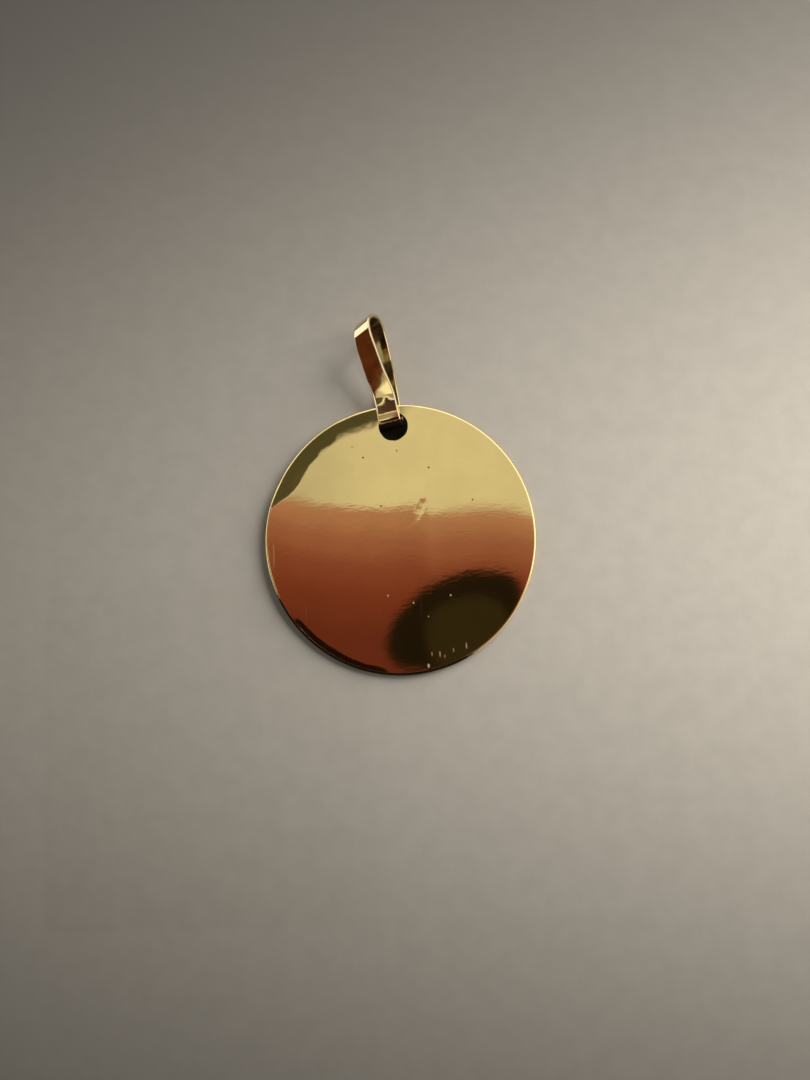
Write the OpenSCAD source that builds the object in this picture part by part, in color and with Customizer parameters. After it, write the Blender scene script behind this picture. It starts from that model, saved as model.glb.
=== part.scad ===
// Round gold pendant: a flat polished disc with a hole near its rim, and a bail
// folded from one flat strip and closed through that hole.
// It lies as it does when put down: the disc leans on its far rim and on the bail,
// and the bail has fallen over to the left. The hole is towards +Y, and z = 0 is
// the surface that it lies on.

/* [Disc] */
// Diameter of the disc
disc_d = 18; // [14:0.5:24]
// Thickness of the disc
disc_t = 0.4; // [0.3:0.05:0.7]
// Radius that rounds the rim, held to half the thickness
rim_r = 0.17; // [0.05:0.01:0.35]
// Metal left between the hole and the rim
hole_margin = 0.57; // [0.4:0.01:1.4]
// Chamfer on both edges of the hole
hole_chamfer = 0.04; // [0.01:0.01:0.08]

/* [Bail strip] */
// Width of the strip at the neck
strip_w = 1.48; // [0.9:0.02:1.8]
// Width that it narrows to at the top of the loop
top_w = 1.24; // [0.8:0.02:1.8]
// Thickness of the strip
strip_t = 0.28; // [0.2:0.01:0.4]
// Chamfer along the strip's four edges
strip_edge = 0.05; // [0.01:0.01:0.09]

/* [Bail loop] */
// Length of the bail over its two rounded ends
bail_l = 7.55; // [6.8:0.05:12]
// Length of the rounded top
top_l = 1.8; // [1.2:0.1:2.4]
// Gap between the legs where the rounded top starts, for the chain
loop_gap = 2.08; // [1.3:0.02:2.6]
// Share of the loop's spread that the front leg takes
front_share = 0.77; // [0.5:0.01:1]
// Share of the loop's height that the rounded top falls on its front side
top_share = 0.62; // [0.4:0.01:0.65]
// Level stretch of the neck beyond the disc's rim
neck_over = 0.5; // [0.4:0.02:1]
// Radius of the kink where the front leg leaves the neck
kink_r = 1.8; // [0.5:0.1:3]
// Length over which the strip twists beyond the rim
twist_l = 2.1; // [1:0.05:3]

/* [Fits] */
// Play between the disc's faces and the neck of the bail
seat_gap = 0.04; // [0.02:0.01:0.08]
// Room on each side of the strip in the hole
hole_play = 0.18; // [0.17:0.01:0.5]
// Distance from the hole's outer wall back to the centre of the bottom bend
bend_in = 0.4; // [0.3:0.02:0.5]

/* [How the bail lies] */
// Roll to the left at the neck, in degrees
neck_roll = 9; // [0:0.5:13]
// Further roll of the loop, from the strip's twist
loop_twist = 11.5; // [0:0.5:20]
// Slant of the loop's bends across the strip
bend_skew = 14; // [0:0.5:16]
// Further slant of the rounded top, whose left end sits lower
top_skew = 5; // [0:0.5:14]
// Swing to the left, in degrees
bail_yaw = 9; // [0:0.2:12]
// Rise of the loop from the disc's plane, in degrees
bail_pitch = 3.7; // [0:0.1:5]
// Distance of the neck to the left of the hole's centre
neck_side = 0.15; // [0:0.01:0.16]

/* [Hidden] */

gold = [0.84, 0.7, 0.38];
round_fn = 96;

// Disc and hole
edge_r = min(rim_r, 0.48 * disc_t);
hole_d = strip_w + 2 * hole_play;
hole_y = disc_d / 2 - hole_margin - hole_d / 2;

// Side profile of the bail: u runs from the bottom bend to the top, n from the
// loop's middle to the front. Both are measured to the middle of the strip.
neck_gap = disc_t / cos(neck_roll) + strip_w * tan(neck_roll) + 2 * seat_gap;
neck_h = (neck_gap + strip_t) / 2;
rim_u = bend_in + hole_margin;
neck_u = rim_u + neck_over;
apex_u = bail_l - neck_h - strip_t;
bend_u = apex_u - top_l;
spread = loop_gap + strip_t - 2 * neck_h;
front_h = neck_h + spread * front_share;
rear_h = neck_h + spread * (1 - front_share);
top_h = front_h - (front_h + rear_h) * top_share;

// The front leg leaves the neck on an arc of kink_r and rises straight from there
rise = front_h - neck_h;
run = bend_u - neck_u;
front_a = asin(kink_r / norm([run, kink_r - rise])) - atan2(kink_r - rise, run);
rear_slope = (rear_h - neck_h) / bend_u;

// Handle lengths of the rounded top's two quarters, as shares of their sides: first at
// the leg, then at the apex. Shares of 0.55 follow an ellipse, and larger ones are fuller
front_round = [0.4, 1];
rear_round = [0.55, 0.95];

function cubic(a, b, c, d, k) =
    pow(1 - k, 3) * a + 3 * k * pow(1 - k, 2) * b + 3 * k * k * (1 - k) * c + pow(k, 3) * d;
function smooth(k) = let (c = min(1, max(0, k))) c * c * (3 - 2 * c);
function unit(v) = v / norm(v);

apex = [apex_u, top_h];
front_handle = [0, front_round[1] * (front_h - top_h)];
rear_handle = [0, rear_round[1] * (rear_h + top_h)];
front_end = [bend_u, front_h];
rear_end = [bend_u, -rear_h];
front_reach = front_round[0] * top_l * [1, tan(front_a)];
rear_reach = rear_round[0] * top_l * [1, -rear_slope];

bend_steps = 12;
neck_steps = 5;
kink_steps = 5;
leg_steps = 8;
rear_steps = 18;
top_steps = 13;

bottom_pts = [for (i = [-bend_steps / 2:bend_steps / 2 - 1])
    let (a = 180 * i / bend_steps) [-neck_h * cos(a), neck_h * sin(a)]];
neck_pts = [for (i = [0:neck_steps - 1]) [neck_u * i / neck_steps, neck_h]];
kink_pts = [for (i = [0:kink_steps - 1])
    let (a = front_a * i / kink_steps)
    [neck_u + kink_r * sin(a), neck_h + kink_r * (1 - cos(a))]];
kink_end = [neck_u + kink_r * sin(front_a), neck_h + kink_r * (1 - cos(front_a))];
leg_pts = [for (i = [0:leg_steps - 1]) kink_end + (front_end - kink_end) * i / leg_steps];
front_top_pts = [for (i = [0:top_steps - 1])
    cubic(front_end, front_end + front_reach, apex + front_handle, apex, i / top_steps)];
rear_top_pts = [for (i = [0:top_steps - 1])
    cubic(apex, apex - rear_handle, rear_end + rear_reach, rear_end, i / top_steps)];
rear_pts = [for (i = [0:rear_steps - 1])
    let (k = i / rear_steps) [bend_u * (1 - k), -rear_h + (rear_h - neck_h) * k]];

profile = concat(bottom_pts, neck_pts, kink_pts, leg_pts, front_top_pts, rear_top_pts, rear_pts);
stations = len(profile);
function outward(i) =
    let (t = unit(profile[(i + 1) % stations] - profile[(i + stations - 1) % stations]))
    [-t.y, t.x];

// Directions of the bail as it lies against the disc: along it, across it and to its front
along = [-sin(bail_yaw) * cos(bail_pitch), cos(bail_yaw) * cos(bail_pitch), sin(bail_pitch)];
across = [cos(bail_yaw), sin(bail_yaw), 0];
front = cross(across, along);
bail_at = [-neck_side, disc_d / 2 - hole_margin - bend_in, 0];

// Corners of the strip's section, each as [share of the width, share of the thickness,
// chamfer off the width, chamfer off the thickness]
corners = [
    [0.5, 0.5, 0, -1], [0.5, 0.5, -1, 0], [-0.5, 0.5, 1, 0], [-0.5, 0.5, 0, -1],
    [-0.5, -0.5, 0, 1], [-0.5, -0.5, 1, 0], [0.5, -0.5, -1, 0], [0.5, -0.5, 0, 1]];

function section(i) =
    let (
        p = profile[i],
        m = outward(i),
        s = smooth((p.x - rim_u) / twist_l),
        roll = neck_roll + loop_twist * s,
        near_top = smooth((p.x - bend_u) / top_l + 0.3),
        skew = bend_skew * s + top_skew * near_top,
        w = strip_w + (top_w - strip_w) * min(1, max(0, (p.x - neck_u) / (apex_u - neck_u))),
        normal = front * cos(roll) - across * sin(roll),
        level = across * cos(roll) + front * sin(roll),
        side = level * cos(skew) + along * sin(skew),
        middle = bail_at + along * p.x + normal * p.y,
        out = along * m.x + normal * m.y
    )
    [for (c = corners) middle
        + side * (c[0] * w + c[2] * strip_edge)
        + out * (c[1] * strip_t + c[3] * strip_edge)];

strip_pts = [for (i = [0:stations - 1]) each section(i)];
ring = len(corners);
strip_faces = [for (i = [0:stations - 1], j = [0:ring - 1])
    let (
        a = i * ring,
        b = (i + 1) % stations * ring,
        k = (j + 1) % ring
    )
    each [[a + j, a + k, b + k], [a + j, b + k, b + j]]];

// The disc leans so that its far rim and the lowest point of the bail meet one plane
far_rim = [-(disc_d / 2 - edge_r), -(disc_t / 2 - edge_r)];
function lean_to(p) =
    let (d = [p.y, p.z] - far_rim)
    -atan2(d.y, d.x) - asin(edge_r / norm(d));
lean = max([for (p = strip_pts) lean_to(p)]);
lift = edge_r - far_rim.x * sin(lean) - far_rim.y * cos(lean);
low_y = far_rim.x * cos(lean) + far_rim.y * sin(lean) - edge_r;
high_y = max([for (p = strip_pts) p.y * cos(lean) - p.z * sin(lean)]);

// Lays a piece down, with the middle of the whole pendant over the origin
module laid_down() {
    translate([0, -(low_y + high_y) / 2, lift])
        rotate([lean, 0, 0])
            children();
}

// Half of the disc's outline, with both corners of the rim rounded
module disc_outline() {
    corner = [disc_d / 2 - edge_r, disc_t / 2 - edge_r];
    translate([0, -disc_t / 2])
        square([corner.x, disc_t]);
    translate([0, -corner.y])
        square([disc_d / 2, 2 * corner.y]);
    for (z = [-corner.y, corner.y])
        translate([corner.x, z])
            circle(r = edge_r, $fn = round_fn);
}

// Drilled hole with a chamfer on each face
module hole() {
    over = 1;
    cylinder(d = hole_d, h = disc_t + 2 * over, center = true, $fn = round_fn);
    for (side = [0, 1])
        mirror([0, 0, side])
            translate([0, 0, disc_t / 2 - hole_chamfer])
                cylinder(
                    r1 = hole_d / 2,
                    r2 = hole_d / 2 + 2 * hole_chamfer,
                    h = 2 * hole_chamfer,
                    $fn = round_fn);
}

module disc() {
    color(gold)
        laid_down()
            difference() {
                rotate_extrude($fn = round_fn)
                    disc_outline();
                translate([0, hole_y, 0])
                    hole();
            }
}

module bail() {
    color(gold)
        laid_down()
            polyhedron(points = strip_pts, faces = strip_faces, convexity = 6);
}

disc();
bail();
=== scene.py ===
"""Round gold pendant with a folded strip bail, lying on a plain pale floor.

Both pieces are built fine enough to be mirrors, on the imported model's sizes. The
drawing sizes are in millimetres, in the disc's own frame: its middle is the origin,
+Z is its polished face and the hole is towards +Y.
"""
import math

import bpy
import numpy as np
from mathutils import Matrix, Vector, noise


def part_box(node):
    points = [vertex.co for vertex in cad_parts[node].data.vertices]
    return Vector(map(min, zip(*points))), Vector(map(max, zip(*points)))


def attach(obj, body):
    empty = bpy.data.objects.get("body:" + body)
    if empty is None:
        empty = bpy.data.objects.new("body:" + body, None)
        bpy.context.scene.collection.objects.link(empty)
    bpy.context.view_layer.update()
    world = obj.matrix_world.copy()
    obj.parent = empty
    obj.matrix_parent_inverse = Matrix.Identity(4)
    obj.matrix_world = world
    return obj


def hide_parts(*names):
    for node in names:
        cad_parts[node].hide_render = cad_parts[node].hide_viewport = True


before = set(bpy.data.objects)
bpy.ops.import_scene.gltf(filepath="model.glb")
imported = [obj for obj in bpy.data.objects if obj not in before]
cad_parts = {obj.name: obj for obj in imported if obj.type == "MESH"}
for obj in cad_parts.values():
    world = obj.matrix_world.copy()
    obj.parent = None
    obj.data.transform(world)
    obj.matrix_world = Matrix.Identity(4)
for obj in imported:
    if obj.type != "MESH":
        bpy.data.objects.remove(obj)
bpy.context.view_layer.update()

MM = 0.001

# Driving sizes, the same as in the part's source
DISC_D = 18.0
DISC_T = 0.4
EDGE_R = 0.17
HOLE_MARGIN = 0.57
HOLE_ROUND = 0.05
STRIP_W = 1.48
TOP_W = 1.24
STRIP_T = 0.28
STRIP_ROUND = 0.075
BAIL_L = 7.55
TOP_L = 1.8
LOOP_GAP = 2.08
FRONT_SHARE = 0.77
TOP_SHARE = 0.62
NECK_OVER = 0.5
KINK_R = 1.8
TWIST_L = 2.1
SEAT_GAP = 0.04
HOLE_PLAY = 0.18
BEND_IN = 0.4
NECK_ROLL = math.radians(9)
LOOP_TWIST = math.radians(11.5)
BEND_SKEW = math.radians(14)
TOP_SKEW = math.radians(5)
BAIL_YAW = math.radians(9)
BAIL_PITCH = math.radians(3.7)
NECK_SIDE = 0.15
FRONT_ROUND = (0.4, 1.0)  # shares at the leg and at the apex
REAR_ROUND = (0.55, 0.95)

# Unevenness of the real strip, beyond the drawn sizes
THIN_END = 0.02
NECK_WEDGE = 0.022
REAR_WEDGE = 0.034
BEVEL_W = 0.13
BEVEL_SLOPE = 0.42
WAVINESS = 0.005

# Sizes that follow from them
HOLE_R = STRIP_W / 2 + HOLE_PLAY
HOLE_Y = DISC_D / 2 - HOLE_MARGIN - HOLE_R
FLAT_R = DISC_D / 2 - EDGE_R
FACE_Z = DISC_T / 2
NECK_GAP = DISC_T / math.cos(NECK_ROLL) + STRIP_W * math.tan(NECK_ROLL) + 2 * SEAT_GAP
NECK_H = (NECK_GAP + STRIP_T) / 2
RIM_U = BEND_IN + HOLE_MARGIN
NECK_U = RIM_U + NECK_OVER
APEX_U = BAIL_L - NECK_H - STRIP_T
BEND_U = APEX_U - TOP_L
SPREAD = LOOP_GAP + STRIP_T - 2 * NECK_H
FRONT_H = NECK_H + SPREAD * FRONT_SHARE
REAR_H = NECK_H + SPREAD * (1 - FRONT_SHARE)
TOP_H = FRONT_H - (FRONT_H + REAR_H) * TOP_SHARE


def unit(v):
    return v / np.linalg.norm(v)


def smooth(k):
    k = min(1.0, max(0.0, k))
    return k * k * (3 - 2 * k)


def between(value, low, high):
    """0 at low, 1 at high, and smooth between them."""
    return smooth((value - low) / (high - low))


def stretch(value, start, full, fading, end):
    """1 from full to fading, 0 before start and after end, and smooth between them."""
    return between(value, start, full) * (1 - between(value, fading, end))


def polar(x, y):
    """Distance from the disc's middle, and direction in degrees from the right."""
    return math.hypot(x, y), math.degrees(math.atan2(y, x)) % 360


def wave(x, y, z, size, seed):
    """Smooth random value of about -1 to 1 that changes over size."""
    return noise.noise(Vector((x / size + seed, y / size - seed, z / size + 0.37 * seed)))


# Placement
def placing():
    """Matrix from the disc's frame in millimetres to the row frame in metres."""
    lo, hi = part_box("disc")
    across = DISC_D - 2 * EDGE_R
    through = DISC_T - 2 * EDGE_R
    height = (hi.z - lo.z) / MM - 2 * EDGE_R
    lean = math.asin(height / math.hypot(across, through)) - math.atan2(through, across)
    return (Matrix.Translation((lo + hi) / 2)
            @ Matrix.Rotation(lean, 4, "X")
            @ Matrix.Scale(MM, 4))


PLACE = placing()

# The camera, and where it looks, in the disc's frame
CAMERA_AT = Vector((4.256, -5.087, FACE_Z + 53.081))
CAMERA_AIM = Vector((0.389, -0.161, FACE_Z))
CAMERA_ROLL = math.radians(2.86)
LENS = 27.03
SENSOR = 36.0
PHOTO_W, PHOTO_H = 810, 1080


def camera_axes():
    """Place of the camera and its directions to the right, up and ahead, in the row frame."""
    at, aim = PLACE @ CAMERA_AT, PLACE @ CAMERA_AIM
    ahead = (aim - at).normalized()
    north = Vector((0, 1, 0))
    north = (north - ahead * ahead.dot(north)).normalized()
    east = ahead.cross(north)
    up = north * math.cos(CAMERA_ROLL) + east * math.sin(CAMERA_ROLL)
    return at, ahead.cross(up), up, ahead


def on_face(px, py):
    """Place on the polished face, in the row frame, that a pixel of the photo shows."""
    at, right, up, ahead = camera_axes()
    scale = SENSOR / LENS / PHOTO_H
    ray = ahead + right * ((px - PHOTO_W / 2) * scale) + up * ((PHOTO_H / 2 - py) * scale)
    middle = PLACE @ Vector((0, 0, FACE_Z))
    normal = PLACE.to_3x3() @ Vector((0, 0, 1))
    return at + ray * ((middle - at).dot(normal) / ray.dot(normal))


def ring_mesh(name, rings, marks):
    """Closed mesh from rings of points, each joined to the next and the last to the first.
    marks gives a number from 0 to 1 for each point under each attribute's name."""
    rings = np.asarray(rings)
    count, size, _ = rings.shape
    i = np.repeat(np.arange(count), size)
    j = np.tile(np.arange(size), count)
    up, side = (i + 1) % count, (j + 1) % size
    quads = np.stack([i * size + j, i * size + side, up * size + side, up * size + j], 1)
    points = rings.reshape(-1, 3)
    a, b, c, d = (points[quads[:, k]] for k in range(4))
    volume = np.einsum("ij,ij->i", a, np.cross(b, c) + np.cross(c, d)).sum()
    if volume < 0:
        quads = quads[:, ::-1]
    mesh = bpy.data.meshes.new(name)
    mesh.from_pydata(points.tolist(), [], quads.tolist())
    mesh.transform(PLACE)
    for key, values in marks.items():
        mark = mesh.attributes.new(key, "FLOAT", "POINT")
        mark.data.foreach_set("value", np.asarray(values, np.float32).ravel())
    mesh.shade_smooth()
    mesh.update()
    piece = bpy.data.objects.new(name, mesh)
    bpy.context.scene.collection.objects.link(piece)
    return piece


# Disc
AROUND = 320
FACE_RINGS = 150
# Shares of the way from the hole to the rim: ends of the face's rings, and rings of the back
FACE_ENDS = (0.004, 0.9985)
BACK_RINGS = (0.9985, 0.98, 0.92, 0.8, 0.65, 0.5, 0.35, 0.2, 0.08, 0.02, 0.004)

# Wear of the polished face: heights of its ripples, then where each worn edge starts, its
# slope, and the length over which that slope grows
RIPPLE, FINE_RIPPLE = 0.0011, 0.00022
ROLL_START, ROLL_SLOPE, ROLL_EASE = 7.62, 0.15, 0.65
CUT_START, CUT_SLOPE, CUT_EASE = 8.46, 0.06, 0.06

# Painted shade, for the dark in the hole and the contact shadow that the lower rim mirrors: its
# reach from the hole's wall, and how much there is along the lower rim, between which directions
# and out from which radius
HOLE_PAINTED_SHADE = (0.02, 0.09)
RIM_PAINTED_SHADE, RIM_SHADE_TURN, RIM_SHADE_R = 0.8, (194, 210, 288, 312), (8.78, 8.85)

# Comma-shaped dent right of the middle: points of its line, with half widths and depths
DING = [(1.95, 2.6, 0.14, 0.0), (1.65, 2.2, 0.26, 0.0085), (1.47, 1.8, 0.28, 0.0095),
        (1.25, 1.3, 0.24, 0.006), (0.5, 0.7, 0.16, 0.0)]
DING_SPREAD = 1.6


def fall(past, ease):
    """Fall of a slope of 1 in 1, past its start, that grows from level over about ease."""
    past = max(0.0, past)
    return past ** 2 / (past + ease)


def face_shape(x, y):
    """Height that the polished face departs by from a flat one, and how much of it is a bend
    of the whole plate."""
    r, turn = polar(x, y)
    ripple = RIPPLE * wave(x, y, 0, 5.0, 3.1) + FINE_RIPPLE * wave(x, y, 0, 1.3, 8.2)
    ripple *= 1 - between(r, 8.0, 8.7)
    # the plate rolls off at its upper left edge
    start = ROLL_START + 1.2 * between(turn, 150, 166) - 0.2 * stretch(turn, 97, 101, 108, 116)
    start += 0.10 * wave(x, y, 0, 0.9, 2.2) + 0.03 * wave(x, y, 0, 0.35, 7.7)
    slope = (ROLL_SLOPE + 0.04 * between(turn, 144, 152)) * stretch(turn, 78, 97, 160, 168)
    bend = -slope * fall(r - start, ROLL_EASE)
    # the polish cuts into its lower left edge
    start = CUT_START + 0.1 * between(turn, 234, 250) + 0.04 * wave(x, y, 0, 0.6, 4.4)
    slope = (CUT_SLOPE + 0.015 * between(turn, 222, 236)) * stretch(turn, 214, 219, 256, 264)
    cut = -slope * fall(r - start, CUT_EASE)
    return ripple + cut + ding(x, y), bend


def ding(x, y):
    """Height of the face in the dent, 0 outside it."""
    best = 0.0
    for (ax, ay, aw, ad), (bx, by, bw, bd) in zip(DING, DING[1:]):
        k = ((x - ax) * (bx - ax) + (y - ay) * (by - ay)) / ((bx - ax) ** 2 + (by - ay) ** 2)
        k = min(1.0, max(0.0, k))
        off = math.hypot(x - ax - k * (bx - ax), y - ay - k * (by - ay))
        width, depth = aw + k * (bw - aw), ad + k * (bd - ad)
        best = max(best, depth * (1 - smooth(off / (DING_SPREAD * width))))
    return -best


def circle(radius, centre_y, z):
    t = 2 * math.pi * (np.arange(AROUND) + 0.5) / AROUND
    return np.stack([radius * np.cos(t), centre_y + radius * np.sin(t), np.full(AROUND, z)], 1)


def disc_rings():
    """Rings of the disc's section, from inside the hole over the face and round the rim."""
    rings, wall = [], FACE_Z - HOLE_ROUND
    rings += [(HOLE_R, HOLE_Y, z) for z in np.linspace(-wall, wall, 5)[:-1]]
    for a in np.linspace(0, math.pi / 2, 6):
        radius = HOLE_R + HOLE_ROUND * (1 - math.cos(a))
        rings.append((radius, HOLE_Y, wall + HOLE_ROUND * math.sin(a)))
    inner = HOLE_R + HOLE_ROUND
    steps = np.linspace(0, 1, FACE_RINGS)
    steps = np.concatenate([FACE_ENDS[:1], steps[1:-1], FACE_ENDS[1:]])
    top = [(inner + (FLAT_R - inner) * k, HOLE_Y * (1 - k), FACE_Z) for k in steps]
    corner = FACE_Z - EDGE_R
    rim = [(FLAT_R + EDGE_R * math.cos(a), 0.0, corner + EDGE_R * math.sin(a))
           for a in np.linspace(math.pi / 2, 0, 13)]
    under = [(r, y, -z) for r, y, z in reversed(rings[4:])]
    bottom = [(inner + (FLAT_R - inner) * k, HOLE_Y * (1 - k), -FACE_Z) for k in BACK_RINGS]
    return rings + top + rim + [(r, y, -z) for r, y, z in reversed(rim)] + bottom + under[:-1]


def make_disc():
    """The disc, with shade painted round the hole and along the lower rim."""
    rings = np.array([circle(*ring) for ring in disc_rings()])
    painted_shade = np.zeros(rings.shape[:2])
    for i, ring in enumerate(rings):
        for j, p in enumerate(ring):
            # painted shade: on the hole's wall, and where the lower rim mirrors the floor's
            # contact shadow
            from_hole = math.hypot(p[0], p[1] - HOLE_Y) - HOLE_R
            reach = HOLE_PAINTED_SHADE[1] + 0.05 * wave(*p, 0.5, 6.1)
            in_hole = 1 - between(from_hole, HOLE_PAINTED_SHADE[0], reach)
            r, turn = polar(p[0], p[1])
            low_rim = stretch(turn, *RIM_SHADE_TURN) * between(r, *RIM_SHADE_R)
            painted_shade[i, j] = max(RIM_PAINTED_SHADE * low_rim * between(p[2], -0.1, 0.0), in_hole)
            face, bend = face_shape(p[0], p[1])
            p[2] += bend + face * between(p[2], 0.0, FACE_Z - 0.02)
    return ring_mesh("disc_polished", rings, {"painted_shade": painted_shade})


# Bail

# Points along the bottom bend, neck, kink, front leg, each half of the top and rear leg
BEND_STEPS, NECK_STEPS, KINK_STEPS, FRONT_STEPS, TOP_STEPS, REAR_STEPS = 48, 20, 20, 40, 50, 60

# Distances along the bail, and how dull the loop's inner side is there, with shade and reflections
# painted on it in the same share
INSIDE_DULL_AND_SHADE = ((0.9, 1.4, 2.1, 2.4, 2.9, 3.1, 3.85, 4.05, 5.3, 5.8, 6.05, 6.3),
               (0.0, 0.2, 0.2, 0.5, 0.55, 0.95, 0.95, 0.2, 0.15, 0.3, 0.75, 0.9))
# Distances along the bail where the strip's unevenness and the shade painted on the bottom bend
# begin and are full, and where they fade
THIN_AT = (0.35, -0.15)
WEDGE_FADES = (2.0, 2.8)
BEVEL_AT = (0.4, 0.7, 2.5, 3.0)
REAR_WEDGE_AT = (0.6, 1.4, 4.9, 5.8)
BEND_PAINTED_SHADE = (-0.08, -0.34)
# Distances to the front over which the front leg's unevenness sets in, and to the rear for
# the rear leg's
FRONT_SIDE, REAR_SIDE = (-0.45, 0.1), (0.1, 0.5)


def spaced(start, end, count):
    return np.linspace(start, end, count, endpoint=False)


def cubic(a, b, c, d, k):
    """Point at share k of a curve from a to d with the handles b and c."""
    return (1 - k) ** 3 * a + 3 * k * (1 - k) ** 2 * b + 3 * k * k * (1 - k) * c + k ** 3 * d


def bail_profile():
    """Middle line of the strip, as distances along the bail and to its front."""
    rise, run = FRONT_H - NECK_H, BEND_U - NECK_U
    lift = math.asin(KINK_R / math.hypot(run, KINK_R - rise)) - math.atan2(KINK_R - rise, run)
    apex = np.array([APEX_U, TOP_H])
    front_end, rear_end = np.array([BEND_U, FRONT_H]), np.array([BEND_U, -REAR_H])
    front_handle = np.array([0, FRONT_ROUND[1] * (FRONT_H - TOP_H)])
    rear_handle = np.array([0, REAR_ROUND[1] * (REAR_H + TOP_H)])
    slope = (REAR_H - NECK_H) / BEND_U
    front_reach = FRONT_ROUND[0] * TOP_L * np.array([1, math.tan(lift)])
    rear_reach = REAR_ROUND[0] * TOP_L * np.array([1, -slope])
    points = []
    for a in spaced(-math.pi / 2, math.pi / 2, BEND_STEPS):
        points.append((-NECK_H * math.cos(a), NECK_H * math.sin(a)))
    for k in spaced(0, 1, NECK_STEPS):
        points.append((NECK_U * k, NECK_H))
    for a in spaced(0, lift, KINK_STEPS):
        points.append((NECK_U + KINK_R * math.sin(a), NECK_H + KINK_R * (1 - math.cos(a))))
    kink_end = np.array([NECK_U + KINK_R * math.sin(lift),
                         NECK_H + KINK_R * (1 - math.cos(lift))])
    for k in spaced(0, 1, FRONT_STEPS):
        points.append(kink_end + (front_end - kink_end) * k)
    for k in spaced(0, 1, TOP_STEPS):
        points.append(cubic(front_end, front_end + front_reach, apex + front_handle, apex, k))
    for k in spaced(0, 1, TOP_STEPS):
        points.append(cubic(apex, apex - rear_handle, rear_end + rear_reach, rear_end, k))
    for k in spaced(0, 1, REAR_STEPS):
        points.append((BEND_U * (1 - k), -REAR_H + (REAR_H - NECK_H) * k))
    return np.array(points, float)


def strip_outline(width):
    """Rounded outline of the strip's section, with points across each flat."""
    w, t, r = width / 2 - STRIP_ROUND, STRIP_T / 2 - STRIP_ROUND, STRIP_ROUND
    points = []
    for turn, sx, sy in ((0, 1, 1), (1, -1, 1), (2, -1, -1), (3, 1, -1)):
        for a in np.linspace(0, math.pi / 2, 7) + turn * math.pi / 2:
            points.append((sx * w + r * math.cos(a), sy * t + r * math.sin(a)))
        if turn % 2 == 0:
            # closer together near the worn edge
            flat = np.append(np.linspace(w - 0.012, -w + 0.1, 9), np.linspace(0.08, 0.012, 4) - w)
            points += [(sx * x, sy * (t + r)) for x in flat]
        else:
            points += [(sx * (w + r), sy * y) for y in (t - 0.008, 0.0, 0.008 - t)]
    return np.array(points)


def make_bail():
    """The strip, from one section at each point of the profile, a little duller inside the loop
    with shade and reflections painted there, and with shade painted where the bottom bend sits in
    the hole."""
    profile = bail_profile()
    ahead, behind = np.roll(profile, -1, 0), np.roll(profile, 1, 0)
    cy, sy = math.cos(BAIL_YAW), math.sin(BAIL_YAW)
    cp, sp = math.cos(BAIL_PITCH), math.sin(BAIL_PITCH)
    along, across = np.array([-sy * cp, cy * cp, sp]), np.array([cy, sy, 0])
    front = np.cross(across, along)
    start = np.array([-NECK_SIDE, DISC_D / 2 - HOLE_MARGIN - BEND_IN, 0])
    rings, painted_shade, inner = [], [], []
    for p, a, b in zip(profile, ahead, behind):
        t = unit(a - b)
        s = smooth((p[0] - RIM_U) / TWIST_L)
        near_top = smooth((p[0] - BEND_U) / TOP_L + 0.3)
        taper = min(1.0, max(0.0, (p[0] - NECK_U) / (APEX_U - NECK_U)))
        width = STRIP_W + (TOP_W - STRIP_W) * taper
        roll = NECK_ROLL + LOOP_TWIST * s
        skew = BEND_SKEW * s + TOP_SKEW * near_top
        normal = front * math.cos(roll) - across * math.sin(roll)
        level = across * math.cos(roll) + front * math.sin(roll)
        side = level * math.cos(skew) + along * math.sin(skew)
        out = along * -t[1] + normal * t[0]
        middle = start + along * p[0] + normal * p[1]
        # the front neck is thinner towards the hole and to its left, where its edge is worn to a
        # bevel, and the inside of the rear leg isn't quite parallel to its back
        at_front, at_rear = between(p[1], *FRONT_SIDE), between(-p[1], *REAR_SIDE)
        thin = THIN_END * between(p[0], *THIN_AT) * at_front
        tilt = NECK_WEDGE * at_front * (1 - between(p[0], *WEDGE_FADES))
        bevel = BEVEL_SLOPE * at_front * stretch(p[0], *BEVEL_AT)
        rear_tilt = REAR_WEDGE * at_rear * stretch(p[0], *REAR_WEDGE_AT)
        free = s * WAVINESS
        ring, dull_and_shade = [], []
        for x, y in strip_outline(width):
            outer, inside = between(y, 0.0, STRIP_T / 2), between(-y, 0.0, STRIP_T / 2)
            share = 2 * x / width
            lift = outer * (tilt * share - thin - bevel * max(0.0, BEVEL_W - x - width / 2))
            q = middle + side * x + out * (y + lift + inside * rear_tilt * share)
            ring.append(q + out * free * wave(*q, 1.1, 5.3) + side * free * wave(*q, 1.7, 9.1))
            # dullness of the inner side, and the share of painted shade and reflections on it
            dull_and_shade.append(inside * np.interp(p[0] + 0.1 * share, *INSIDE_DULL_AND_SHADE))
        rings.append(ring)
        # painted shade on the bottom bend, where it sits in the dark hole
        painted_shade.append([between(p[0], *BEND_PAINTED_SHADE)] * len(ring))
        inner.append(dull_and_shade)
    return ring_mesh("bail_strip", rings, {"painted_shade": painted_shade, "inside": inner})


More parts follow.
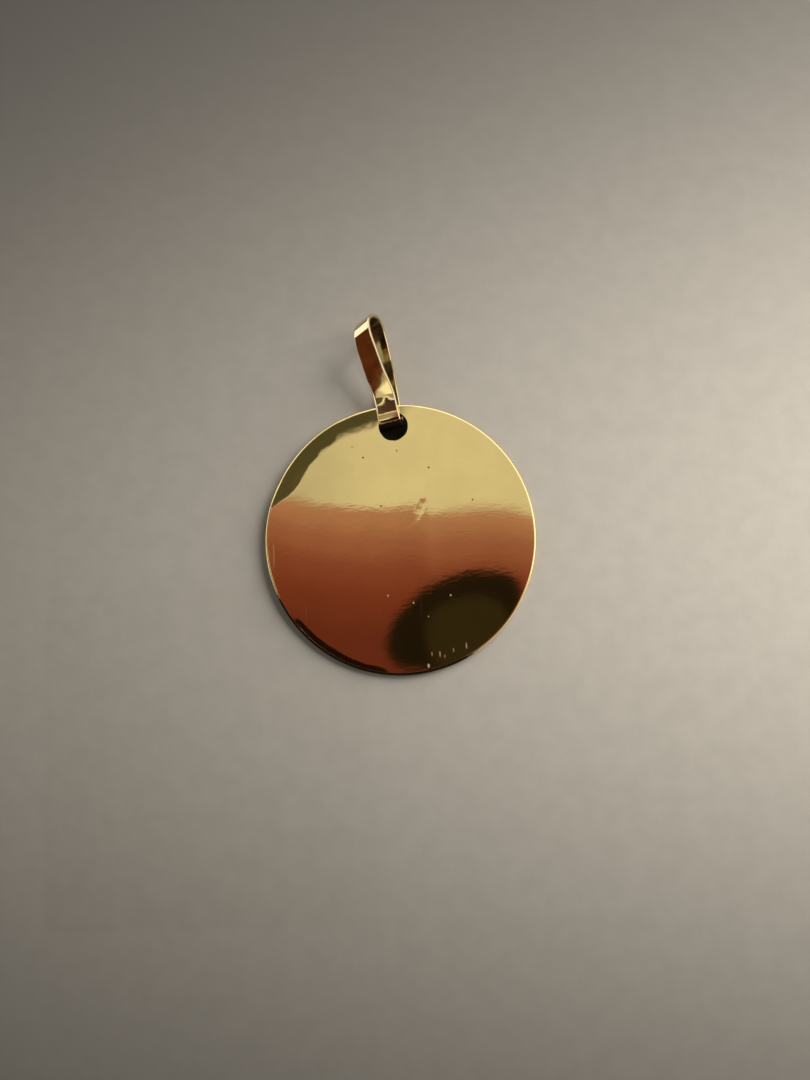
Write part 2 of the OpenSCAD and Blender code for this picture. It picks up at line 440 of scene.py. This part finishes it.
# Materials
class Nodes:
    """Short hand for a node tree: values are sockets or plain numbers."""

    def __init__(self, tree):
        self.tree = tree
        tree.nodes.clear()

    def new(self, kind, inputs=(), **settings):
        node = self.tree.nodes.new(kind)
        for key, value in settings.items():
            setattr(node, key, value)
        for key, value in dict(inputs).items():
            self.put(node.inputs[key], value)
        return node

    def put(self, socket, value):
        if isinstance(value, bpy.types.NodeSocket):
            self.tree.links.new(value, socket)
        else:
            socket.default_value = value

    def math(self, operation, a, b=0.0, c=0.0):
        return self.new("ShaderNodeMath", {0: a, 1: b, 2: c}, operation=operation).outputs[0]

    def product(self, first, *others):
        for other in others:
            first = self.math("MULTIPLY", first, other)
        return first

    def vector(self, operation, a, b=(0, 0, 0), output="Vector"):
        return self.new("ShaderNodeVectorMath", {0: a, 1: b}, operation=operation).outputs[output]

    def place(self):
        return self.new("ShaderNodeTexCoord").outputs["Object"]

    def axes(self, where):
        return self.new("ShaderNodeSeparateXYZ", {0: where}).outputs

    def smooth(self, value, low, high, to_low=0.0, to_high=1.0):
        return self.new("ShaderNodeMapRange", {0: value, 1: low, 2: high, 3: to_low, 4: to_high},
                        interpolation_type="SMOOTHSTEP").outputs[0]

    def mix(self, share, a, b):
        node = self.new("ShaderNodeMix", {0: share}, data_type="RGBA")
        self.put(node.inputs[6], a)
        self.put(node.inputs[7], b)
        return node.outputs[2]

    def noise(self, where, scale, detail=2.0, rough=0.5):
        return self.new("ShaderNodeTexNoise", {"Vector": where, "Scale": scale, "Detail": detail,
                                               "Roughness": rough}).outputs[0]


def rgb(r, g, b):
    return (r, g, b, 1.0)


def new_material(name):
    made = bpy.data.materials.new(name)
    made.use_nodes = True
    return made, Nodes(made.node_tree)


# Scratches in the polish: direction and fineness of each set of lines, the noise levels where
# a line begins and where it is full, and how deep and how rough it is
SCRATCHES = ((0.25, 5200), (1.45, 6100), (2.5, 4300))
SCRATCH_EDGE = (0.69, 0.76)
SCRATCH_DEPTH, SCRATCH_ROUGH = 0.18, 0.04
# Tone of the shade and reflections painted on the loop's inner side and of the shade painted in
# the hole and along the lower rim, and how much rougher they and a mark are
INSIDE_SHADE_TONE, DULL_ROUGH = (0.12, 0.075, 0.03), 0.2
PAINTED_SHADE_TONE, PAINTED_SHADE_ROUGH = (0.035, 0.022, 0.012), 0.5
SPECK_ROUGH = 0.45

# Marks on the polished face: pixel of the photo that shows the middle, then half width and
# half length in millimetres, tone and strength. The first six are dark, the others pale.
SPECKS = [(363.0, 457.6, 0.08, 0.08, 0.12, 1.0), (428.6, 467.4, 0.09, 0.07, 0.1, 1.0),
          (396.7, 450.7, 0.07, 0.10, 0.3, 0.8), (472.6, 499.6, 0.08, 0.09, 0.2, 0.8),
          (381.0, 506.0, 0.11, 0.06, 0.12, 0.9), (352.0, 447.0, 0.12, 0.10, 0.35, 0.35),
          (387.9, 595.7, 0.08, 0.10, 0.98, 1.0), (413.6, 602.9, 0.07, 0.08, 0.98, 1.0),
          (450.7, 595.0, 0.08, 0.08, 0.98, 1.0), (428.6, 616.4, 0.06, 0.07, 0.98, 0.8),
          (428.6, 665.7, 0.11, 0.18, 0.98, 1.0), (440.0, 654.0, 0.06, 0.28, 0.98, 0.8),
          (432.0, 654.0, 0.06, 0.20, 0.98, 0.7), (444.8, 656.2, 0.06, 0.18, 0.98, 0.6),
          (453.6, 650.0, 0.06, 0.20, 0.98, 0.7), (466.4, 645.7, 0.07, 0.28, 0.98, 0.8),
          (306.0, 612.0, 0.06, 1.1, 0.98, 0.2), (371.7, 556.7, 0.05, 0.5, 0.98, 0.16),
          (306.0, 545.0, 0.8, 0.05, 0.98, 0.2)]


def scratches(n, where, turn, scale):
    """Thin lines that run the same way, from noise stretched along them."""
    turned = n.new("ShaderNodeMapping", {"Vector": where, "Rotation": (0, 0, turn),
                                         "Scale": (scale, scale * 0.02, scale)}).outputs[0]
    return n.smooth(n.noise(turned, 1.0, 2.0, 0.6), *SCRATCH_EDGE)


def gold(name, tint, polish, grain, dull_and_shaded_inside=False, specks=()):
    """Polished yellow gold with fine wear. polish is its roughness and grain the height of its
    fine relief."""
    made, n = new_material(name)
    where = n.place()
    drawn = n.new("ShaderNodeMapping", {"Vector": where, "Scale": (0.4, 1.0, 1.0)}).outputs[0]
    fine = n.noise(drawn, 3600, 3.0, 0.6)
    cloud = n.noise(where, 420, 3.0, 0.55)
    lines = [scratches(n, where, turn, scale) for turn, scale in SCRATCHES]
    worn = n.math("MAXIMUM", n.math("MAXIMUM", lines[0], lines[1]), lines[2])
    rough = n.math("MULTIPLY_ADD", cloud, polish, polish * 0.5)
    rough = n.math("MULTIPLY_ADD", worn, SCRATCH_ROUGH, rough)
    deeper = rgb(*(0.95 * c for c in tint))
    colour = n.mix(n.smooth(cloud, 0.35, 0.7), rgb(*tint), deeper)
    # A duller inner side, with bands of shade and reflection painted on it
    if dull_and_shaded_inside:
        dull_and_shade = n.new("ShaderNodeAttribute", attribute_name="inside").outputs["Fac"]
        colour = n.mix(dull_and_shade, colour, rgb(*INSIDE_SHADE_TONE))
        rough = n.math("MULTIPLY_ADD", dull_and_shade, DULL_ROUGH, rough)
    for px, py, across, along, tone, strength in specks:
        off = n.vector("SUBTRACT", where, on_face(px, py))
        off = n.vector("MULTIPLY", off, (1 / across, 1 / along, 0.5 / across))
        near = n.vector("LENGTH", off, output="Value")
        spot = n.math("MULTIPLY", n.smooth(near, MM, 0.5 * MM), strength)
        colour = n.mix(spot, colour, rgb(tone, tone * 0.85, tone * 0.6))
        rough = n.math("MULTIPLY_ADD", spot, SPECK_ROUGH, rough)
    # Shade painted in the hole, on the bottom bend and along the lower rim
    painted_shade = n.new("ShaderNodeAttribute", attribute_name="painted_shade").outputs["Fac"]
    painted_shade = n.math("MULTIPLY_ADD", n.noise(where, 5200, 2.0, 0.6), 0.5,
                    n.math("SUBTRACT", painted_shade, 0.25))
    painted_shade = n.smooth(painted_shade, 0.2, 0.6)
    colour = n.mix(painted_shade, colour, rgb(*PAINTED_SHADE_TONE))
    rough = n.math("MULTIPLY_ADD", painted_shade, PAINTED_SHADE_ROUGH, rough)
    height = n.math("MULTIPLY_ADD", worn, -SCRATCH_DEPTH, fine)
    bump = n.new("ShaderNodeBump", {"Strength": 1.0, "Distance": grain, "Height": height})
    shader = n.new("ShaderNodeBsdfPrincipled", {
        "Base Color": colour, "Metallic": 1.0, "Roughness": rough, "Normal": bump.outputs[0]})
    n.new("ShaderNodeOutputMaterial", {0: shader.outputs[0]})
    return made


# Build
disc = make_disc()
bail = make_bail()
for piece, node in ((disc, "disc"), (bail, "bail")):
    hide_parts(node)
    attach(piece, "root")
disc.data.materials.append(gold("gold_disc", (0.94, 0.76, 0.33), 0.05, 1.7e-6, specks=SPECKS))
bail.data.materials.append(gold("gold_bail", (0.93, 0.77, 0.42), 0.045, 1e-6, dull_and_shaded_inside=True))


# Stage
def stage_object(name, points, faces, place, material):
    mesh = bpy.data.meshes.new(name)
    mesh.from_pydata(points, [], faces)
    mesh.materials.append(material)
    thing = bpy.data.objects.new(name, mesh)
    thing.matrix_world = place
    bpy.context.scene.collection.objects.link(thing)
    return thing


def square_sheet(name, half, place, material):
    corners = [(-half, -half, 0), (half, -half, 0), (half, half, 0), (-half, half, 0)]
    return stage_object(name, corners, [(0, 1, 2, 3)], place, material)


def only_mirrored(thing):
    """The piece sees it in its polish, and it lights nothing else."""
    thing.visible_camera = False
    thing.visible_diffuse = False
    thing.visible_shadow = False
    thing.visible_transmission = False
    thing.visible_volume_scatter = False


def glow(made, n, colour, strength=1.0):
    shader = n.new("ShaderNodeEmission", {"Color": colour, "Strength": strength})
    n.new("ShaderNodeOutputMaterial", {0: shader.outputs[0]})
    made.cycles.emission_sampling = "NONE"
    return made


# Floor, in metres: middle and width of the pool of light painted on it along x and along y, its
# lit and shaded tones, and radius, full radius and tone of the shadow painted under the hole
FLOOR_HALF = 0.6
FLOOR_LIGHT_MIDDLE, FLOOR_LIGHT_WIDTH = (0.067, -0.0055), (0.103, 0.0305)
FLOOR_SHADED_TONE, FLOOR_LIT_TONE = (0.091, 0.085, 0.076), (0.72, 0.673, 0.604)
UNDER_HOLE = (PLACE @ Vector((0, HOLE_Y, 0))) * Vector((1, 1, 0))
HOLE_SHADE_R, HOLE_SHADE_FULL, HOLE_SHADE = 0.0014, 0.0011, (0.02, 0.014, 0.008)


def floor_material():
    """Floor with a pool of light painted in: pale to the right, and darker towards the top, the
    bottom and the left.
    """
    made, n = new_material("floor_painted_light")
    where = n.place()
    parts = []
    for axis, middle, width in zip(n.axes(where), FLOOR_LIGHT_MIDDLE, FLOOR_LIGHT_WIDTH):
        off = n.math("MULTIPLY_ADD", axis, 1 / width, -middle / width)
        parts.append(n.math("POWER", n.math("ABSOLUTE", off), 2.0))
    level = n.math("EXPONENT", n.math("MULTIPLY", n.math("ADD", *parts), -1.0))
    mottle = n.smooth(n.noise(where, 700, 4.0, 0.6), 0.3, 0.7)
    level = n.math("MULTIPLY", level, n.math("MULTIPLY_ADD", mottle, 0.08, 0.96))
    colour = n.mix(level, rgb(*FLOOR_SHADED_TONE), rgb(*FLOOR_LIT_TONE))
    # painted shadow on the floor under the hole
    away = n.vector("DISTANCE", where, UNDER_HOLE, output="Value")
    colour = n.mix(n.smooth(away, HOLE_SHADE_R, HOLE_SHADE_FULL), colour, rgb(*HOLE_SHADE))
    shader = n.new("ShaderNodeBsdfPrincipled", {"Base Color": colour, "Roughness": 0.9})
    n.new("ShaderNodeOutputMaterial", {0: shader.outputs[0]})
    return made


# Overhead card. Its places are in millimetres on the disc's face that mirrors it, and its
# colours are linear. Each pair that is named for x, y, r or a border gives where a field
# begins and where it is full.
CARD_HALF = 45.0
PALE, PALE_LEFT, PALE_LEFT_X = (0.70, 0.66, 0.585), (0.56, 0.53, 0.49), (0.0, -7.0)
RED = (0.43, 0.215, 0.17)
# deeper reds, each coming in between two distances below the edge
DEEPER_REDS = ((0.6, 2.6, (0.32, 0.122, 0.097)), (2.4, 4.4, (0.229, 0.062, 0.047)),
               (4.2, 6.4, (0.176, 0.041, 0.027)), (6.0, 9.0, (0.133, 0.029, 0.021)))
# Edge between the pale and the red part, on each side of its step: middle, height and bow
EDGE_LEFT, EDGE_RIGHT = (0.0, 2.0, 0.022), (4.9, 1.68, -0.045)
EDGE_STEP_X = (1.2, 2.4)
# how soft it is: between which x it changes, and from what to what
SOFT_RIGHT, SOFT_LEFT = (1.4, 4.0, 0.12, 0.6), (-4.0, -8.0, 0.0, 0.5)

# Rounded shapes: middle, half sizes, turn in degrees, fullness of the corners, raggedness
DARK_SHAPE = ((3.35, -5.62), (4.86, 2.8), 26, 1.85, 0.2)
DARK_MIDDLE = ((4.2, -6.5), (2.75, 2.4), 10, 2.5, 0.2)
NECK_BAND = ((-10.0, 3.95), (1.2, 0.5), 0, 4.0, 0.0)
NECK_BEVEL = ((-22.5, 3.7), (4.0, 1.3), 0, 4.0, 0.0)
KINK_FREE = ((-11.6, 3.7), (1.2, 1.2), 0, 5.0, 0.0)
DARK_TONE, DARK_BORDER = (0.013, 0.009, 0.005), (1.1, 0.92)
DARK_MIDDLE_TONE, DARK_MIDDLE_BORDER = (0.030, 0.022, 0.011), (1.15, 0.85)
NECK_TONE, NECK_BORDER = (0.066, 0.031, 0.026), (1.12, 0.9)
KINK_FREE_BORDER = (0.95, 1.1)

# Beyond what the flat face mirrors: bright from the far side to the right, dark to the viewer
FAR_TONE, FAR_R, FAR_BORDER = (1.25, 1.22, 1.25), (14.0, 19.0), (-4.0, 2.0)
VIEWER_TONE, VIEWER_LEFT, VIEWER_LEFT_X = (0.16, 0.085, 0.065), (0.05, 0.02, 0.013), (3.0, -3.0)
VIEWER_Y = (-9.5, -12.0)

# Left of it, for the bail: a pale strip, dimmer to its left and where the neck mirrors it
STRIP_TONE, STRIP_LEFT, STRIP_NECK = (1.05, 1.0, 0.72), (0.60, 0.53, 0.38), (0.36, 0.29, 0.22)
STRIP_X, STRIP_BRIGHT_BORDER = (-9.0, -9.2), (-12.2, -11.3)
STRIP_NECK_X, STRIP_NECK_LOW, STRIP_NECK_HIGH = (-12.2, -11.4), (-1.0, 0.3), (3.4, 2.4)
# a dark brown field for the front leg, and pale ones for the rear leg's inside and the top
LEG_TONES, LEG_X = ((0.055, 0.012, 0.006), (0.12, 0.035, 0.012)), (-13.45, -13.75)
INSIDE_TONE, INSIDE_X, INSIDE_BORDER = (0.36, 0.33, 0.25), (-17.0, -19.0), (-0.7, 0.3)
TOP_TONE, TOP_X, TOP_Y = (1.25, 1.25, 1.1), (-28.0, -30.0), (20.4, 21.6)

# Dark arcs for the cut edge at the lower left and the rolled one at the upper left
CUT_TONE, CUT_R_FROM, CUT_R_TO = (0.012, 0.004, 0.003), (9.0, 9.4), (16.0, 14.5)
CUT_X_FROM, CUT_X_TO, CUT_Y = (-0.5, -2.5), (-10.2, -9.9), (-2.5, -4.0)
ROLL_TONES, ROLL_TONE_Y = ((0.13, 0.092, 0.048), (0.080, 0.073, 0.043)), (3.0, 9.0)
ROLL_R_FROM, ROLL_R_TO, ROLL_X, ROLL_BORDER = 8.7, (23.0, 20.0), (2.5, 0.0), (-0.3, 0.5)
# radius where the rolled edge's arc is full: between which x it changes, and from what to what
ROLL_R_FULL = (-6.0, -8.8, 15.4, 9.8)


class Card:
    """Emission of the card above the pendant, drawn layer over layer."""

    def __init__(self):
        self.made, n = new_material("card_overhead")
        self.n, self.where = n, n.place()
        self.x, self.y = n.axes(self.where)[:2]
        self.r = n.math("POWER", n.math("ADD", *(n.product(v, v) for v in (self.x, self.y))), 0.5)
        self.drift = n.math("MULTIPLY_ADD", n.noise(self.where, 0.45, 2.0, 0.5), 0.5, -0.25)
        self.colour = self.face()
        self.dark_shape()
        self.far_sides()
        self.for_the_bail()
        self.for_the_rim()
        glow(self.made, n, self.colour)

    def lay(self, share, tone):
        """Covers share of what is drawn so far with the tone, three numbers or a socket."""
        if isinstance(tone, tuple):
            tone = rgb(*tone)
        self.colour = self.n.mix(share, self.colour, tone)

    def slant(self, a, b, c=0.0):
        """a x + b y + c."""
        return self.n.math("MULTIPLY_ADD", self.x, a, self.n.math("MULTIPLY_ADD", self.y, b, c))

    def parabola(self, mid, height, bow):
        off = self.n.math("SUBTRACT", self.x, mid)
        return self.n.math("MULTIPLY_ADD", self.n.product(off, off), bow, height)

    def blob(self, mid, half, turn, power, ragged):
        """1 on the line of a rounded shape about mid, and less inside it. A power of 2 makes it
        an ellipse, and more fills its corners."""
        n = self.n
        c, s = math.cos(math.radians(turn)), math.sin(math.radians(turn))
        dx, dy = n.math("SUBTRACT", self.x, mid[0]), n.math("SUBTRACT", self.y, mid[1])
        parts = []
        for a, b, size in ((c, s, half[0]), (-s, c, half[1])):
            off = n.math("ADD", n.math("MULTIPLY", dx, a / size), n.math("MULTIPLY", dy, b / size))
            parts.append(n.math("POWER", n.math("ABSOLUTE", off), power))
        return n.math("ADD", n.math("POWER", n.math("ADD", *parts), 1 / power),
                      n.math("MULTIPLY", self.drift, ragged))

    def face(self):
        """What the flat face mirrors: pale above, red below, with a soft edge between them."""
        n, x = self.n, self.x
        step = n.smooth(x, *EDGE_STEP_X)
        left = n.math("MULTIPLY", n.math("SUBTRACT", 1.0, step), self.parabola(*EDGE_LEFT))
        edge = n.math("MULTIPLY_ADD", step, self.parabola(*EDGE_RIGHT), left)
        below = n.math("SUBTRACT", n.math("ADD", edge, self.drift), self.y)
        soft = n.math("ADD", n.smooth(x, *SOFT_RIGHT), n.smooth(x, *SOFT_LEFT))
        pale = n.mix(n.smooth(x, *PALE_LEFT_X), rgb(*PALE), rgb(*PALE_LEFT))
        red = rgb(*RED)
        for start, end, tone in DEEPER_REDS:
            red = n.mix(n.smooth(below, start, end), red, rgb(*tone))
        return n.mix(n.smooth(n.math("DIVIDE", below, soft), -1.0, 1.0), pale, red)

    def dark_shape(self):
        """The dark rounded shape at the lower right, with a slightly paler middle."""
        self.lay(self.n.smooth(self.blob(*DARK_SHAPE), *DARK_BORDER), DARK_TONE)
        self.lay(self.n.smooth(self.blob(*DARK_MIDDLE), *DARK_MIDDLE_BORDER), DARK_MIDDLE_TONE)

    def far_sides(self):
        n = self.n
        bright = n.product(n.smooth(self.r, *FAR_R), n.smooth(self.slant(0.6, 1.0), *FAR_BORDER))
        self.lay(bright, FAR_TONE)
        viewer = n.mix(n.smooth(self.x, *VIEWER_LEFT_X), rgb(*VIEWER_TONE), rgb(*VIEWER_LEFT))
        self.lay(n.smooth(self.y, *VIEWER_Y), viewer)

    def for_the_bail(self):
        """What the bail's kink, legs and rounded top mirror."""
        n, x, y = self.n, self.x, self.y
        strip = n.mix(n.smooth(self.slant(1.0, -0.1), *STRIP_BRIGHT_BORDER),
                      rgb(*STRIP_LEFT), rgb(*STRIP_TONE))
        neck = n.product(n.smooth(y, *STRIP_NECK_LOW), n.smooth(y, *STRIP_NECK_HIGH),
                         n.smooth(x, *STRIP_NECK_X))
        self.lay(n.smooth(x, *STRIP_X), n.mix(neck, strip, rgb(*STRIP_NECK)))
        grain = n.smooth(n.noise(self.where, 0.8, 3.0, 0.6), 0.35, 0.65)
        self.lay(n.smooth(x, *LEG_X), n.mix(grain, *(rgb(*tone) for tone in LEG_TONES)))
        inside = n.smooth(self.slant(0.8, 0.6, 12.3), *INSIDE_BORDER)
        self.lay(n.product(inside, n.smooth(x, *INSIDE_X)), INSIDE_TONE)
        self.lay(n.product(n.smooth(y, *TOP_Y), n.smooth(x, *TOP_X)), TOP_TONE)

    def for_the_rim(self):
        """What the worn edges of the disc mirror, and the bail's neck over them."""
        n, x, y, r = self.n, self.x, self.y, self.r
        cut = n.product(n.smooth(r, *CUT_R_FROM), n.smooth(r, *CUT_R_TO), n.smooth(y, *CUT_Y),
                        n.smooth(x, *CUT_X_FROM), n.smooth(x, *CUT_X_TO))
        self.lay(cut, CUT_TONE)
        roll = n.product(
            n.smooth(n.math("ADD", r, self.drift), ROLL_R_FROM, n.smooth(x, *ROLL_R_FULL)),
            n.smooth(r, *ROLL_R_TO), n.smooth(self.slant(0.40, 1.0), *ROLL_BORDER),
            n.smooth(x, *ROLL_X), n.smooth(self.blob(*KINK_FREE), *KINK_FREE_BORDER))
        olive = n.mix(n.smooth(y, *ROLL_TONE_Y), *(rgb(*tone) for tone in ROLL_TONES))
        self.lay(roll, olive)
        for shape in (NECK_BAND, NECK_BEVEL):
            self.lay(n.smooth(self.blob(*shape), *NECK_BORDER), NECK_TONE)


# Dark sheet just above the floor round the lower left of the rim, seen only in the polish: painted
# shade that the rim mirrors there in place of the lit floor, in metres
LOW_CARD_HALF, LOW_CARD_AT = 0.011, (-0.0135, -0.0165, 0.00002)
LOW_CARD_SHADE_TONE = (0.03, 0.018, 0.012)


def shade_card_material():
    made, n = new_material("shade_card_low")
    return glow(made, n, rgb(*LOW_CARD_SHADE_TONE))


# Wall round the pendant, in metres, and its brightness by azimuth in degrees
WALL_R, WALL_H, WALL_SIDES = 0.16, 0.13, 96
WALL_TINT, WALL_PEAK = (1.0, 1.0, 1.15), 1.6
WALL = [(-180, 1.1), (-173, 1.0), (-160, 0.25), (-70, 0.25), (-58, 0.5), (-40, 1.0), (-15, 1.5),
        (0, 1.6), (40, 1.6), (60, 1.3), (80, 1.5), (120, 1.3), (150, 1.15), (180, 1.1)]


def wall_material():
    """Emission of the wall round the pendant: bright beyond it, dark towards the viewer."""
    made, n = new_material("card_wall")
    axes = n.axes(n.place())
    turn = n.math("MULTIPLY_ADD", n.math("ARCTAN2", axes[1], axes[0]), 0.5 / math.pi, 0.5)
    ramp = n.new("ShaderNodeValToRGB", {0: turn})
    stops = ramp.color_ramp.elements
    while len(stops) < len(WALL):
        stops.new(0.5)
    for stop, (azimuth, level) in zip(stops, WALL):
        stop.position = (azimuth + 180) / 360
        stop.color = rgb(level / WALL_PEAK, level / WALL_PEAK, level / WALL_PEAK)
    return glow(made, n, n.vector("MULTIPLY", ramp.outputs[0], WALL_TINT), WALL_PEAK)


def make_wall():
    """Upright ring round the pendant, outside the card above."""
    turns = [2 * math.pi * k / WALL_SIDES for k in range(WALL_SIDES)]
    points = [(math.cos(t), math.sin(t), z) for z in (0, 1) for t in turns]
    faces = []
    for k in range(WALL_SIDES):
        after = (k + 1) % WALL_SIDES
        faces.append((k, after, after + WALL_SIDES, k + WALL_SIDES))
    scale = Matrix.Diagonal((WALL_R, WALL_R, WALL_H, 1))
    return stage_object("card_wall", points, faces, scale, wall_material())


# World: tones at the horizon and overhead, and the heights between which they change
HORIZON_TONE, ZENITH_TONE, ZENITH_FROM = (0.36, 0.345, 0.31), (0.06, 0.055, 0.05), (0.5, 0.85)
# Soft light from the upper right, in metres and watts
LAMP_AT, LAMP_SIDE, LAMP_POWER, LAMP_TINT = (0.125, 0.085, 0.08), 0.14, 0.5, (1.0, 0.96, 0.89)


def make_world():
    world = bpy.data.worlds.new("studio")
    world.use_nodes = True
    n = Nodes(world.node_tree)
    up = n.axes(n.new("ShaderNodeTexCoord").outputs["Generated"])[2]
    tone = n.mix(n.smooth(up, *ZENITH_FROM), rgb(*HORIZON_TONE), rgb(*ZENITH_TONE))
    sky = n.new("ShaderNodeBackground", {"Color": tone, "Strength": 1.0})
    n.new("ShaderNodeOutputWorld", {0: sky.outputs[0]})
    bpy.context.scene.world = world


def make_lamp():
    """The soft light, turned to the pendant and unseen in its polish."""
    lamp = bpy.data.lights.new("soft_box", "AREA")
    lamp.shape, lamp.size, lamp.energy, lamp.color = "SQUARE", LAMP_SIDE, LAMP_POWER, LAMP_TINT
    box = bpy.data.objects.new("soft_box", lamp)
    box.location = LAMP_AT
    box.rotation_mode = "QUATERNION"
    box.rotation_quaternion = (-Vector(box.location)).to_track_quat("-Z", "Y")
    box.visible_glossy = False
    bpy.context.scene.collection.objects.link(box)


square_sheet("floor", FLOOR_HALF, Matrix.Identity(4), floor_material())

# A place on the face mirrors the card at twice its distance from the camera's foot
card_place = (PLACE @ Matrix.Translation((-CAMERA_AT.x, -CAMERA_AT.y, CAMERA_AT.z))
              @ Matrix.Diagonal((2, 2, 1, 1)))
only_mirrored(square_sheet("card_overhead", CARD_HALF, card_place, Card().made))
only_mirrored(square_sheet("shade_card_low", LOW_CARD_HALF, Matrix.Translation(LOW_CARD_AT),
                           shade_card_material()))
only_mirrored(make_wall())
make_world()
make_lamp()


# Camera
def make_camera():
    data = bpy.data.cameras.new("camera")
    data.lens, data.sensor_width = LENS, SENSOR
    data.clip_start, data.clip_end = 0.001, 10.0
    at, right, up, ahead = camera_axes()
    turn = Matrix((right, up, -ahead)).transposed().to_4x4()
    camera = bpy.data.objects.new("camera", data)
    camera.matrix_world = Matrix.Translation(at) @ turn
    bpy.context.scene.collection.objects.link(camera)
    bpy.context.scene.camera = camera


make_camera()
bpy.context.scene.view_settings.view_transform = "Standard"
